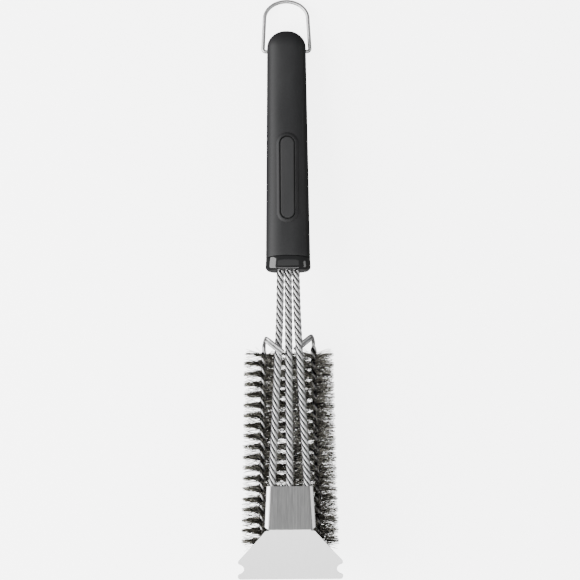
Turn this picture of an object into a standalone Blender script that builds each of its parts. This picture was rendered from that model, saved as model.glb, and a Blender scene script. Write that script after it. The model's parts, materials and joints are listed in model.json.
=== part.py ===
"""Grill cleaning brush.

A black grip with a swinging hang loop holds three twisted wire stems. The stems fan out into a
folded steel sleeve whose front runs on as a notched scraper blade. Two of the four wires of each
stem turn back under the blade, and carry the bristles as a twisted core.

The tool is modelled straight along Y, the scraper at low Y, the grip at high Y and the bristles
down. It is then set down as it lies on a table, on its rear bristles and the butt of its grip.
Lengths are in metres and angles in radians.
"""

import math
from dataclasses import dataclass

import bmesh
import bpy
from mathutils import Quaternion, Vector

# The fit between pieces that touch
GAP = 0.0003

# Grip: heights are half thicknesses, widths are half widths
GRIP_FRONT = 0.2520
GRIP_DOME = 0.4190
GRIP_END = 0.4313
GRIP_WIDTH = 0.0152
GRIP_SWELL = 0.0021
GRIP_HEIGHT_END = 0.0105
GRIP_HEIGHT_FRONT = 0.0115
GRIP_ROUNDNESS = 2.7
DOME_ROUNDNESS = 2.2
DOME_RINGS = 6
BODY_RINGS = 6
SECTION_POINTS = 24

# The rigid core in the grip, and the pocket in its front that holds the stems
CORE_FRONT = 0.2435
CORE_END = 0.4227
CORE_WIDTH_FRONT = 0.0123
CORE_WIDTH_END = 0.0111
CORE_HEIGHT = 0.0073
CORE_ROUNDNESS = 3.0
POCKET_DEPTH = 0.0560
POCKET_WIDTH = 0.0093
POCKET_HEIGHT = 0.0033
POCKET_ROUNDNESS = 4.0

# End collar
COLLAR_FRONT = 0.2410
COLLAR_BACK = 0.2517
COLLAR_WIDTH = 0.01765
COLLAR_HEIGHT = 0.0118
COLLAR_TAPER = 0.00035
COLLAR_CORNER = 0.0040
COLLAR_CORNER_RINGS = 5

# Label pad, the groove round it and the raised boss round both
PAD_MIDDLE = 0.3132
PAD_WIDTH = 0.0052
PAD_LENGTH = 0.0320
PAD_BOTTOM = 0.0097
PAD_TOP = 0.0112
PAD_EDGE = 0.0004
GROOVE_WIDTH = 0.0009
GROOVE_FLOOR = 0.0094
GROOVE_TOP = 0.0130
BOSS_BEVEL = 0.0027
BOSS_RIM = 0.0005
BOSS_BOTTOM = 0.0090
BOSS_FOOT = 0.0102
BOSS_TOP = 0.0115
PILL_ARC_POINTS = 9

# Hang loop
LOOP_PIVOT = 0.4149
LOOP_WIRE = 0.0013
LOOP_HOLE = 0.00170
LOOP_END = 0.0085
LOOP_BEND = 0.0022
LOOP_FOOT = 0.0183
LOOP_SHOULDER = 0.0170
LOOP_LEG = 0.0268
LOOP_REACH = 0.0413
LOOP_ARCH_POINTS = 14
LOOP_SIDES = 8
HOLE_SIDES = 12

# Wires: four are laid up as a stem, and two as a brush core, all left-handed
WIRE = 0.00114
WIRE_SIDES = 4
STEM_LAY = 0.00177
CORE_LAY = 0.0013
STATIONS_PER_TURN = 8
STEM_BACK = 0.2983
TWIST_BACK = 0.2433
STEM_SPACING = 0.0059
STEM_FAN = 0.0210
STEM_BEND_Y = 0.2040
STEM_BEND_FAN = 0.0325
STEM_BEND_EASE = 0.0120
STEM_TURNS = 10
SHORT_WIRE_END = 0.0410
HAIRPIN_Y = 0.0370
HAIRPIN_REACH = 0.0100
HAIRPIN_STEPS = 10
BRUSH_DROP = 0.0240
CORE_BACK = 0.1850
CORE_X_FRONT = 0.0222
CORE_X_BACK = 0.0193

# Tails, where the core wires end by hooking on to the stems
TAIL_BACK = 0.1900
TAIL_FRONT = 0.1793
TAIL_START_X = 0.0178
TAIL_END_X = 0.0048
TAIL_HEIGHT = 0.0046
TAIL_FILLET = 0.0040
TAIL_FILLET_STEPS = 4

# Bristles
BRISTLE_RADIUS = 0.0160
BRISTLE_FRONT = 0.0265
BRISTLE_BACK = 0.1805
BRISTLE_ARC_POINTS = 15
BRISTLE_BORE = 0.0030
BORE_SIDES = 8
SLOT_WIDTH = 0.0040
SLOT_BACK = 0.0405

# Scraper: one sheet, folded round the stems and bent down as a blade
SHEET = 0.0010
SLEEVE_BACK = 0.0723
BEND_Y = 0.0387
SLEEVE_RADIUS = 0.0037
SLEEVE_FACETS = tuple(math.radians(a) for a in (90.0, 60.0, 0.0, -60.0, -90.0))
SLEEVE_SLANT = 1.3
SLEEVE_SETBACK = 0.0050
LIP_X = 0.0095
BLADE_ANGLE = math.radians(20.0)
BLADE_LENGTH = 0.0394
BLADE_NECK = (0.0190, 0.0010)
BLADE_KINK = (0.0300, 0.0136)
BLADE_FLARE = math.radians(45.0)
UPPER_LOBE = (0.0386, 0.0258, 0.0019)
NOTCH = (0.0395, 0.0313, 0.0036)
NOTCH_ARC = (math.radians(-110.0), math.radians(-250.0))
LOWER_LOBE = (0.03855, 0.03715, 0.00225)
BLADE_ARC_STEPS = 7

# Plate that closes the sleeve from below
PLATE_FRONT = 0.0430
PLATE_BACK = 0.0710
PLATE_WIDTH = 0.0130
PLATE_TOP = -0.0045
PLATE_SHEET = 0.0010
PLATE_CORNER = 0.0020

SMOOTH_ANGLE = math.radians(35.0)


@dataclass(frozen=True)
class Finish:
    """A surface's colour, roughness and metallic value."""

    name: str
    colour: tuple
    roughness: float
    metallic: float


SOFT_BLACK = Finish("soft_black", (0.022, 0.022, 0.024), 0.62, 0.0)
GLOSS_BLACK = Finish("gloss_black", (0.012, 0.012, 0.013), 0.12, 0.0)
INNER_BLACK = Finish("inner_black", (0.040, 0.040, 0.042), 0.70, 0.0)
POLISHED_STEEL = Finish("polished_steel", (0.72, 0.72, 0.72), 0.15, 1.0)
WIRE_STEEL = Finish("wire_steel", (0.62, 0.61, 0.60), 0.28, 1.0)
SHEET_STEEL = Finish("sheet_steel", (0.66, 0.66, 0.66), 0.34, 1.0)
BRISTLE_STEEL = Finish("bristle_steel", (0.050, 0.047, 0.040), 0.45, 0.6)


@dataclass(frozen=True)
class Brush:
    """One stem with the brush core that two of its wires turn back into.

    Short is how much sooner than the others the core and its tail end.
    """

    name: str
    side: int
    core_turns: float
    tail_side: int
    short: float


BRUSHES = (
    Brush("left", -1, 8.8625, 1, 0.0029),
    Brush("centre", 0, 9.0, -1, 0.0),
    Brush("right", 1, 9.1375, -1, 0.0),
)


# ---------------------------------------------------------------- making and placing


def clear_scene():
    """Remove every object that the scene starts with."""
    for thing in list(bpy.data.objects):
        bpy.data.objects.remove(thing, do_unlink=True)


def material_for(finish):
    """The finish's material, made once."""
    found = bpy.data.materials.get(finish.name)
    if found:
        return found
    material = bpy.data.materials.new(finish.name)
    material.use_nodes = True
    shader = material.node_tree.nodes["Principled BSDF"]
    shader.inputs["Base Color"].default_value = (*finish.colour, 1.0)
    shader.inputs["Roughness"].default_value = finish.roughness
    shader.inputs["Metallic"].default_value = finish.metallic
    return material


def empty(name, parent=None, location=(0.0, 0.0, 0.0)):
    """An empty that carries other objects."""
    holder = bpy.data.objects.new(name, None)
    bpy.context.scene.collection.objects.link(holder)
    holder.parent = parent
    holder.location = location
    return holder


def add_object(name, bm, finish, parent, location=(0.0, 0.0, 0.0)):
    """Turn a bmesh into a named object with its finish, under its parent."""
    mesh = bpy.data.meshes.new(name)
    bm.to_mesh(mesh)
    bm.free()
    mesh.materials.append(material_for(finish))
    mesh.shade_smooth()
    mesh.set_sharp_from_angle(angle=SMOOTH_ANGLE)
    made = bpy.data.objects.new(name, mesh)
    bpy.context.scene.collection.objects.link(made)
    made.parent = parent
    made.location = location
    return made


def cut(body, name, bm, operation="DIFFERENCE"):
    """Cut the bmesh's shape out of a body, or join it on, with a second solid that is only a guide."""
    cutter = add_object(name, bm, INNER_BLACK, body.parent)
    cutter.hide_render = True
    cutter.display_type = "WIRE"
    boolean = body.modifiers.new(name, "BOOLEAN")
    boolean.operation = operation
    boolean.object = cutter


def skin(rings, ring_shaped=False):
    """The closed solid through the rings: capped at both ends, or joined end to start."""
    bm = bmesh.new()
    loops = [[bm.verts.new(point) for point in ring] for ring in rings]
    if ring_shaped:
        loops.append(loops[0])
    for near, far in zip(loops, loops[1:]):
        for i in range(len(near)):
            j = (i + 1) % len(near)
            bm.faces.new((near[i], near[j], far[j], far[i]))
    if not ring_shaped:
        bm.faces.new(loops[0])
        bm.faces.new(loops[-1])
    bmesh.ops.recalc_face_normals(bm, faces=bm.faces)
    return bm


def oval(width, height, y, roundness):
    """A section across the tool: an oval whose corners fill out as its roundness grows."""
    ring = []
    for i in range(SECTION_POINTS):
        angle = 2.0 * math.pi * i / SECTION_POINTS
        c, s = math.cos(angle), math.sin(angle)
        x = math.copysign(abs(c) ** (2.0 / roundness), c) * width
        z = math.copysign(abs(s) ** (2.0 / roundness), s) * height
        ring.append(Vector((x, y, z)))
    return ring


def arc(centre, radius, start, end, steps):
    """Points on an arc in a plane, both ends among them."""
    angles = [start + (end - start) * i / steps for i in range(steps + 1)]
    return [(centre[0] + radius * math.cos(a), centre[1] + radius * math.sin(a)) for a in angles]


def mix(a, b, share):
    """The value that lies a share of the way from a to b."""
    return a + (b - a) * share


# ---------------------------------------------------------------- grip, core and collar


def grip_width(y):
    """The grip's half width along its straight body."""
    return mix(GRIP_WIDTH + GRIP_SWELL, GRIP_WIDTH, (y - GRIP_FRONT) / (GRIP_DOME - GRIP_FRONT))


def grip_height(y):
    """The grip's half thickness along its straight body."""
    return mix(GRIP_HEIGHT_FRONT, GRIP_HEIGHT_END, (y - GRIP_FRONT) / (GRIP_DOME - GRIP_FRONT))


def core_width(y, clearance=0.0):
    """The rigid core's half width, with room round it for the grip."""
    return mix(CORE_WIDTH_FRONT, CORE_WIDTH_END, (y - CORE_FRONT) / (CORE_END - CORE_FRONT)) + clearance


def make_grip(tool):
    """The soft grip: a sleeve closed by a dome, over the rigid core."""
    rings = []
    for i in range(DOME_RINGS, 0, -1):
        along = math.sin(0.5 * math.pi * (i - 0.15) / DOME_RINGS)
        shrink = (1.0 - along**DOME_ROUNDNESS) ** (1.0 / DOME_ROUNDNESS)
        y = mix(GRIP_DOME, GRIP_END, along)
        rings.append(oval(GRIP_WIDTH * shrink, GRIP_HEIGHT_END * shrink, y, GRIP_ROUNDNESS))
    for i in range(BODY_RINGS + 1):
        y = mix(GRIP_DOME, GRIP_FRONT, i / BODY_RINGS)
        rings.append(oval(grip_width(y), grip_height(y), y, GRIP_ROUNDNESS))
    for y in (GRIP_FRONT, CORE_END + GAP):
        rings.append(oval(core_width(y, GAP), CORE_HEIGHT + GAP, y, CORE_ROUNDNESS))
    grip = add_object("grip_shell", skin(rings), SOFT_BLACK, tool)
    cut(grip, "boss_guide", boss_solid(), "UNION")
    cut(grip, "groove_cutter", groove_solid())
    cut(grip, "grip_hole_cutter", cross_hole())


def make_core(tool):
    """The rigid core: it fills the grip, and a pocket in its front holds the stems."""
    pocket_end = CORE_FRONT + POCKET_DEPTH
    rings = [oval(core_width(y), CORE_HEIGHT, y, CORE_ROUNDNESS) for y in (CORE_END, CORE_FRONT)]
    for y in (CORE_FRONT, pocket_end):
        rings.append(oval(POCKET_WIDTH, POCKET_HEIGHT, y, POCKET_ROUNDNESS))
    core = add_object("handle_core", skin(rings), INNER_BLACK, tool)
    cut(core, "core_hole_cutter", cross_hole())


def make_collar(tool):
    """The gloss collar: a cap over the core's front, with a slot that the stems leave by."""
    rings = []
    for i in range(COLLAR_CORNER_RINGS):
        angle = 0.5 * math.pi * i / (COLLAR_CORNER_RINGS - 1)
        inset = COLLAR_CORNER * (1.0 - math.sin(angle))
        y = COLLAR_FRONT + COLLAR_CORNER * (1.0 - math.cos(angle))
        rings.append(oval(COLLAR_WIDTH - inset, COLLAR_HEIGHT - 0.6 * inset, y, GRIP_ROUNDNESS))
    back_width = COLLAR_WIDTH - COLLAR_TAPER
    back_height = COLLAR_HEIGHT - COLLAR_TAPER
    rings.append(oval(back_width, back_height, COLLAR_BACK, GRIP_ROUNDNESS))
    for y in (COLLAR_BACK, CORE_FRONT - GAP):
        rings.append(oval(core_width(CORE_FRONT, GAP), CORE_HEIGHT + GAP, y, CORE_ROUNDNESS))
    for y in (CORE_FRONT - GAP, COLLAR_FRONT):
        rings.append(oval(POCKET_WIDTH, POCKET_HEIGHT, y, POCKET_ROUNDNESS))
    add_object("end_collar", skin(rings, ring_shaped=True), GLOSS_BLACK, tool)


def cross_hole():
    """The hole across the grip and its core, in which the hang loop's ends turn."""
    rings = []
    for x in (-GRIP_WIDTH - LOOP_BEND, GRIP_WIDTH + LOOP_BEND):
        turns = [2.0 * math.pi * i / HOLE_SIDES for i in range(HOLE_SIDES)]
        rings.append([(x, LOOP_PIVOT + LOOP_HOLE * math.cos(t), LOOP_HOLE * math.sin(t)) for t in turns])
    return skin(rings)


def pill(width, length, z):
    """A round-ended outline about the pad's middle, lying flat at a height."""
    straight = length - width
    ends = arc((0.0, straight), width, 0.0, math.pi, PILL_ARC_POINTS)
    ends += arc((0.0, -straight), width, math.pi, 2.0 * math.pi, PILL_ARC_POINTS)
    return [(x, y + PAD_MIDDLE, z) for x, y in ends]


def boss_solid():
    """The raised boss round the pad, with a wide bevel down to the grip's face."""
    rim = GROOVE_WIDTH + BOSS_RIM
    foot = GROOVE_WIDTH + BOSS_BEVEL
    rings = [pill(PAD_WIDTH + foot, PAD_LENGTH + foot, z) for z in (BOSS_BOTTOM, BOSS_FOOT)]
    rings.append(pill(PAD_WIDTH + rim, PAD_LENGTH + rim, BOSS_TOP))
    return skin(rings)


def groove_solid():
    """What is taken away for the pad and the groove round it."""
    inner = PAD_WIDTH + GROOVE_WIDTH
    longer = PAD_LENGTH + GROOVE_WIDTH
    return skin([pill(inner, longer, z) for z in (GROOVE_FLOOR, GROOVE_TOP)])


def make_pad(tool):
    """The plain label pad, standing in its boss with a groove all round."""
    smaller = PAD_WIDTH - PAD_EDGE
    shorter = PAD_LENGTH - PAD_EDGE
    rings = [pill(PAD_WIDTH, PAD_LENGTH, z) for z in (PAD_BOTTOM, PAD_TOP - PAD_EDGE)]
    rings.append(pill(smaller, shorter, PAD_TOP))
    add_object("label_pad", skin(rings), SOFT_BLACK, tool)


# ---------------------------------------------------------------- hang loop


def loop_path():
    """The loop's wire from one end to the other, about its pivot."""
    half = [(LOOP_END, 0.0)]
    half += arc((LOOP_FOOT - LOOP_BEND, LOOP_BEND), LOOP_BEND, -0.5 * math.pi, 0.0, 4)
    for i in range(LOOP_ARCH_POINTS // 2):
        angle = math.pi * i / LOOP_ARCH_POINTS
        rise = (LOOP_REACH - LOOP_LEG) * math.sin(angle)
        half.append((LOOP_SHOULDER * math.cos(angle), LOOP_LEG + rise))
    right = [Vector((x, y, 0.0)) for x, y in half]
    left = [Vector((-x, y, 0.0)) for x, y in reversed(half)]
    return right + [Vector((0.0, LOOP_REACH, 0.0))] + left


def make_loop(pivot):
    """The polished wire loop that the tool hangs by."""
    path = loop_path()
    normals = [Vector((0.0, 0.0, 1.0)) for _ in path]
    add_object("hang_loop", wire_solid(path, normals, LOOP_WIRE, LOOP_SIDES), POLISHED_STEEL, pivot)


# ---------------------------------------------------------------- wires


@dataclass
class Station:
    """A place on the line that wires are laid round: their twist and their distance from it."""

    centre: Vector
    turn: float
    lay: float


def tangents(points):
    """The direction of travel at each point."""
    ahead = points[1:] + points[-1:]
    behind = points[:1] + points[:-1]
    return [(b - a).normalized() for a, b in zip(behind, ahead)]


def wire_solid(path, normals, radius, sides):
    """A wire along a path: each ring's first corner points along that point's normal."""
    rings = []
    for point, along, normal in zip(path, tangents(path), normals):
        first = (normal - along * normal.dot(along)).normalized()
        second = along.cross(first)
        turns = [2.0 * math.pi * i / sides for i in range(sides)]
        rings.append([point + (first * math.cos(t) + second * math.sin(t)) * radius for t in turns])
    return skin(rings)


def stem_x(brush, y):
    """A stem's distance from the middle: near parallel behind a soft bend, fanning out past it."""
    past = STEM_BEND_Y - y
    bent = 0.5 * STEM_BEND_FAN * (past + math.hypot(past, STEM_BEND_EASE))
    return brush.side * (STEM_SPACING + STEM_FAN * max(0.0, TWIST_BACK - y) + bent)


def core_x(brush, y):
    """A brush core's distance from the middle."""
    share = (y - HAIRPIN_Y) / (CORE_BACK - HAIRPIN_Y)
    return brush.side * mix(CORE_X_FRONT, CORE_X_BACK, share)


def stem_stations(brush, front):
    """A stem from its end in the grip to its front: straight at first, then twisted."""
    stations = [Station(Vector((stem_x(brush, STEM_BACK), STEM_BACK, 0.0)), 0.0, STEM_LAY)]
    pitch = (TWIST_BACK - HAIRPIN_Y) / STEM_TURNS
    steps = round((TWIST_BACK - front) / pitch * STATIONS_PER_TURN)
    for i in range(steps + 1):
        y = mix(TWIST_BACK, front, i / steps)
        turn = 2.0 * math.pi * (TWIST_BACK - y) / pitch
        stations.append(Station(Vector((stem_x(brush, y), y, 0.0)), turn, STEM_LAY))
    return stations


def hairpin_stations(brush, turn):
    """The turn back under the blade, where two wires run side by side."""
    stations = []
    for i in range(1, HAIRPIN_STEPS):
        angle = math.pi * i / HAIRPIN_STEPS
        share = min(1.0, 2.0 * i / HAIRPIN_STEPS)
        ease = share * share * (3.0 - 2.0 * share)
        x = mix(stem_x(brush, HAIRPIN_Y), core_x(brush, HAIRPIN_Y), ease)
        y = HAIRPIN_Y - HAIRPIN_REACH * math.sin(angle)
        z = -0.5 * BRUSH_DROP * (1.0 - math.cos(angle))
        stations.append(Station(Vector((x, y, z)), turn, mix(STEM_LAY, CORE_LAY, share)))
    return stations


def core_stations(brush, turn):
    """A brush core from its front to the back of the bristles."""
    stations = []
    steps = round(brush.core_turns * STATIONS_PER_TURN)
    for i in range(steps + 1):
        y = mix(HAIRPIN_Y, CORE_BACK - brush.short, i / steps)
        twist = turn + 2.0 * math.pi * brush.core_turns * i / steps
        stations.append(Station(Vector((core_x(brush, y), y, -BRUSH_DROP)), twist, CORE_LAY))
    return stations


def tail_stations(brush, turn):
    """The end of a core: up behind the bristles, then in and forward to hook on a stem."""
    height = brush.tail_side * TAIL_HEIGHT
    x = core_x(brush, CORE_BACK - brush.short)
    back = TAIL_BACK - brush.short
    start = Vector((x, CORE_BACK - brush.short, -BRUSH_DROP))
    low = Vector((x, back, -BRUSH_DROP))
    high = Vector((brush.side * TAIL_START_X, back, height))
    end = Vector((brush.side * TAIL_END_X, TAIL_FRONT - brush.short, height))
    points = rounded(start, low, high) + rounded(low, high, end) + [end]
    return [Station(point, turn, CORE_LAY) for point in points]


def rounded(before, corner, after):
    """The points of a rounded corner."""
    first = corner + (before - corner).normalized() * TAIL_FILLET
    last = corner + (after - corner).normalized() * TAIL_FILLET
    points = []
    for i in range(TAIL_FILLET_STEPS + 1):
        share = i / TAIL_FILLET_STEPS
        points.append(first.lerp(corner, share).lerp(corner.lerp(last, share), share))
    return points


def laid_wire(stations, phase):
    """One wire laid left-handed round the stations' line, as its path and outward directions."""
    centres = [station.centre for station in stations]
    directions = tangents(centres)
    normal = Vector((1.0, 0.0, 0.0))
    path, normals = [], []
    for i, station in enumerate(stations):
        if i:
            normal = directions[i - 1].rotation_difference(directions[i]) @ normal
        outward = Quaternion(directions[i], -station.turn - phase) @ normal
        path.append(station.centre + outward * station.lay)
        normals.append(outward)
    return path, normals


def make_wires(tool, brush):
    """A stem's four wires: a and b go on as the brush core and its tail, c and d end in the sleeve."""
    stem = stem_stations(brush, HAIRPIN_Y)
    turn = stem[-1].turn
    long_line = stem + hairpin_stations(brush, turn) + core_stations(brush, turn)
    long_line += tail_stations(brush, long_line[-1].turn)
    short_line = stem_stations(brush, SHORT_WIRE_END)
    quarters = {"a": 0, "b": 2, "c": 1, "d": 3}
    for letter, quarter in quarters.items():
        line = long_line if letter in "ab" else short_line
        path, normals = laid_wire(line, 0.5 * math.pi * quarter)
        solid = wire_solid(path, normals, WIRE, WIRE_SIDES)
        add_object(f"wire_{brush.name}_{letter}", solid, WIRE_STEEL, tool)


# ---------------------------------------------------------------- bristles


def bristle_ring(brush, y):
    """A brush's section: a circle, cut off halfway to each neighbouring brush."""
    middle = core_x(brush, y)
    limit = 0.5 * abs(core_x(BRUSHES[-1], y)) - 0.5 * GAP
    near = math.acos(limit / BRISTLE_RADIUS)
    if brush.side:
        near = math.acos((abs(middle) - limit - GAP) / BRISTLE_RADIUS)
    if brush.side == 0:
        half = arc((0.0, -BRUSH_DROP), BRISTLE_RADIUS, near, math.pi - near, BRISTLE_ARC_POINTS // 2)
        return half + [(x, -2.0 * BRUSH_DROP - z) for x, z in reversed(half)]
    outline = arc((0.0, -BRUSH_DROP), BRISTLE_RADIUS, near - math.pi, math.pi - near, BRISTLE_ARC_POINTS)
    return [(middle + brush.side * x, z) for x, z in outline]


def make_bristles(tool, brush):
    """A brush's bristles as one solid, bored for its core and slotted for the turn back."""
    rings = []
    for y in (BRISTLE_FRONT, BRISTLE_BACK):
        rings.append([(x, y, z) for x, z in bristle_ring(brush, y)])
    bristles = add_object(f"bristles_{brush.name}", skin(rings), BRISTLE_STEEL, tool)
    bore = []
    for y in (BRISTLE_FRONT - SLOT_WIDTH, BRISTLE_BACK + SLOT_WIDTH):
        circle = arc((core_x(brush, y), -BRUSH_DROP), BRISTLE_BORE, 0.0, 2.0 * math.pi, BORE_SIDES)[:-1]
        bore.append([(x, y, z) for x, z in circle])
    cut(bristles, f"bore_cutter_{brush.name}", skin(bore))
    middle = core_x(brush, HAIRPIN_Y)
    left, right = middle - SLOT_WIDTH, middle + SLOT_WIDTH
    slot = []
    for y in (BRISTLE_FRONT - SLOT_WIDTH, SLOT_BACK):
        slot.append([(left, y, -BRUSH_DROP - BRISTLE_BORE), (right, y, -BRUSH_DROP - BRISTLE_BORE),
                     (right, y, 0.0), (left, y, 0.0)])
    cut(bristles, f"slot_cutter_{brush.name}", skin(slot))


# ---------------------------------------------------------------- scraper and plate


def sleeve_section(y, front):
    """The sleeve's middle line from lip to lip, folded in flats round the outer stems."""
    side = stem_x(BRUSHES[-1], y)
    half = []
    for before, after in zip(SLEEVE_FACETS, SLEEVE_FACETS[1:]):
        middle = 0.5 * (before + after)
        reach = SLEEVE_RADIUS / math.cos(0.5 * (before - after))
        half.append((side + reach * math.cos(middle), reach * math.sin(middle)))
    half.append((LIP_X, -SLEEVE_RADIUS))
    whole = [(-x, z) for x, z in reversed(half)] + half
    if not front:
        return [(x, y, z) for x, z in whole]
    return [(x, y + min(SLEEVE_SETBACK, SLEEVE_SLANT * (SLEEVE_RADIUS - z)), z) for x, z in whole]


def blade_outline():
    """Half of the blade's edge: distance from the middle, and distance from the bend."""
    points = [BLADE_NECK, BLADE_KINK]
    x, along, radius = UPPER_LOBE
    points += arc((x, along), radius, -BLADE_FLARE, 0.5 * math.pi, BLADE_ARC_STEPS)
    x, along, radius = NOTCH
    points += arc((x, along), radius, *NOTCH_ARC, BLADE_ARC_STEPS)
    x, along, radius = LOWER_LOBE
    points += arc((x, along), radius, -0.5 * math.pi, 0.5 * math.pi, BLADE_ARC_STEPS)
    return points


def on_blade(x, along):
    """A point of the blade, bent down from the sleeve's top face."""
    y = BEND_Y - along * math.cos(BLADE_ANGLE)
    return (x, y, SLEEVE_RADIUS - along * math.sin(BLADE_ANGLE))


def make_scraper(tool):
    """The sheet that is folded round the stems and runs on as the notched blade."""
    bm = bmesh.new()
    back = [bm.verts.new(point) for point in sleeve_section(SLEEVE_BACK, False)]
    front = [bm.verts.new(point) for point in sleeve_section(BEND_Y, True)]
    for i in range(len(back) - 1):
        bm.faces.new((back[i], back[i + 1], front[i + 1], front[i]))
    outline = blade_outline()
    right = [bm.verts.new(on_blade(x, along)) for x, along in outline]
    left = [bm.verts.new(on_blade(-x, along)) for x, along in outline]
    corner = len(front) // 2
    bm.faces.new([front[corner - 1], front[corner]] + right + left[::-1])
    bmesh.ops.recalc_face_normals(bm, faces=bm.faces)
    scraper = add_object("scraper_plate", bm, SHEET_STEEL, tool)
    solid = scraper.modifiers.new("sheet", "SOLIDIFY")
    solid.thickness = SHEET
    solid.offset = 0.0
    solid.use_even_offset = True


def make_plate(tool):
    """The flat plate that closes the sleeve under its lips."""
    outline = []
    corners = ((1, PLATE_BACK, 0.0), (-1, PLATE_BACK, 0.5), (-1, PLATE_FRONT, 1.0), (1, PLATE_FRONT, 1.5))
    for side, y, start in corners:
        inward = PLATE_CORNER if y == PLATE_FRONT else -PLATE_CORNER
        centre = (side * (PLATE_WIDTH - PLATE_CORNER), y + inward)
        outline += arc(centre, PLATE_CORNER, start * math.pi, (start + 0.5) * math.pi, 3)
    rings = [[(x, y, z) for x, y in outline] for z in (PLATE_TOP, PLATE_TOP - PLATE_SHEET)]
    add_object("clamp_back_plate", skin(rings), SHEET_STEEL, tool)


# ---------------------------------------------------------------- setting down


def solids():
    """Every object that is part of the tool, and not a cutter or an empty."""
    return [thing for thing in bpy.data.objects if thing.type == "MESH" and not thing.hide_render]


def corners_of(things):
    """Where the corners of the finished meshes lie in the world."""
    bpy.context.view_layer.update()
    graph = bpy.context.evaluated_depsgraph_get()
    points = []
    for thing in things:
        finished = thing.evaluated_get(graph)
        points += [finished.matrix_world @ vertex.co for vertex in finished.data.vertices]
    return points


def set_down(tool, pivot):
    """Lay the tool on the table and centre it: on its rear bristles, its butt and its loop."""
    grip = corners_of([bpy.data.objects["grip_shell"]])
    heel = Vector((0.0, BRISTLE_BACK, -BRUSH_DROP - BRISTLE_RADIUS))
    tilt = min(math.atan2(point.z - heel.z, point.y - heel.y) for point in grip)
    tool.rotation_euler.x = -tilt
    floor = min(point.z for point in corners_of([bpy.data.objects["bristles_centre"]]))
    fall = pivot.matrix_world.translation.z - floor - LOOP_WIRE
    pivot.rotation_euler.x = tilt - math.asin(fall / LOOP_REACH)
    points = corners_of(solids())
    for axis in (0, 1):
        values = [point[axis] for point in points]
        tool.location[axis] = -0.5 * (min(values) + max(values))
    tool.location.z = -min(point.z for point in points)
    bpy.context.view_layer.update()


def main():
    """Build the whole tool."""
    clear_scene()
    tool = empty("tool")
    pivot = empty("loop_pivot", tool, (0.0, LOOP_PIVOT, 0.0))
    make_grip(tool)
    make_core(tool)
    make_collar(tool)
    make_pad(tool)
    make_loop(pivot)
    make_scraper(tool)
    make_plate(tool)
    for brush in BRUSHES:
        make_wires(tool, brush)
        make_bristles(tool, brush)
    set_down(tool, pivot)


main()
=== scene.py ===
"""Looks of the grill cleaning brush.

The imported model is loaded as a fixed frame. Each sub-assembly then gets its fine surface: the soft
grip with its boss and pad, the gloss collar, the hang loop, the twisted wires, the notched
scraper and some eighteen thousand crimped bristles. Lengths are in metres and angles in radians
unless a name says otherwise. "Tool space" has Y along the tool, from the blade to the hang loop,
and Z up from the plane of the stems.
"""

import json
import logging
import math
from dataclasses import dataclass, field
from enum import Enum
from typing import Any, Callable, Mapping, Sequence

import bpy
import numpy as np
from mathutils import Euler, Matrix, Quaternion, Vector
from mathutils.kdtree import KDTree


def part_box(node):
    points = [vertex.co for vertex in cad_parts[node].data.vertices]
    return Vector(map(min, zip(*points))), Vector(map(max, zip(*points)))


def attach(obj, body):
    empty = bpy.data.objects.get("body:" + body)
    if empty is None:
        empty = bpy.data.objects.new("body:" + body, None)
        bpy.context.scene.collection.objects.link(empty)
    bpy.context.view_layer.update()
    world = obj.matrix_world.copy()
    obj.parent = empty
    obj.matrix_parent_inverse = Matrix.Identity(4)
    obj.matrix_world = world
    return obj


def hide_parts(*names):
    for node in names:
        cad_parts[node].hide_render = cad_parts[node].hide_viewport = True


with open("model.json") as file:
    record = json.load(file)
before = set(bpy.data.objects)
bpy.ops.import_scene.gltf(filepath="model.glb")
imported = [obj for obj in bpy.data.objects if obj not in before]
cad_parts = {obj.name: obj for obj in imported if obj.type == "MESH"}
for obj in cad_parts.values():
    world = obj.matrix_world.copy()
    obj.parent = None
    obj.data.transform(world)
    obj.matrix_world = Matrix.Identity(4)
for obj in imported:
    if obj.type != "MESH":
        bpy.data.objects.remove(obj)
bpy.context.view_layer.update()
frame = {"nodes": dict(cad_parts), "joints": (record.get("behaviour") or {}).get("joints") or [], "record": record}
LOG = logging.getLogger("grill_brush")

Point = tuple[float, float]
Triple = tuple[float, float, float]
Colour = tuple[float, float, float]
Number = float | np.ndarray

SLEEVE_FACE = Vector((0.0, 0.0555, 0.0042))  # the mount on the sleeve, in tool space


# ---------------------------------------------------------------- where the tool lies


def tool_matrix() -> Matrix:
    """Where tool space lies in the frame, read from the mount on the sleeve's top face.

    Returns:
        The matrix that takes a point of tool space to the frame.
    """
    mount = next(m for m in frame["record"]["mounts"] if m["name"] == "sleeve_face")
    tilt = math.atan2(mount["axis"][1], mount["axis"][2])
    turn = Matrix.Rotation(-tilt, 4, "X")
    place = Vector(mount["pos_m"]) - turn @ SLEEVE_FACE
    return Matrix.Translation(place) @ turn


TOOL = tool_matrix()
TO_TOOL = TOOL.inverted()


# ---------------------------------------------------------------- bench work


def nothing_selected() -> None:
    """Leave edit mode and deselect every object."""
    if bpy.context.object and bpy.context.object.mode != "OBJECT":
        bpy.ops.object.mode_set(mode="OBJECT")
    bpy.ops.object.select_all(action="DESELECT")


def take_up(piece: bpy.types.Object) -> None:
    """Make one object the only selected and active one.

    Args:
        piece: The object to work on.
    """
    nothing_selected()
    piece.select_set(True)
    bpy.context.view_layer.objects.active = piece


def fix_modifiers(piece: bpy.types.Object) -> None:
    """Apply every modifier of a piece, in order.

    Args:
        piece: The object whose modifiers become part of its mesh.
    """
    take_up(piece)
    for modifier in list(piece.modifiers):
        bpy.ops.object.modifier_apply(modifier=modifier.name)


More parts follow.
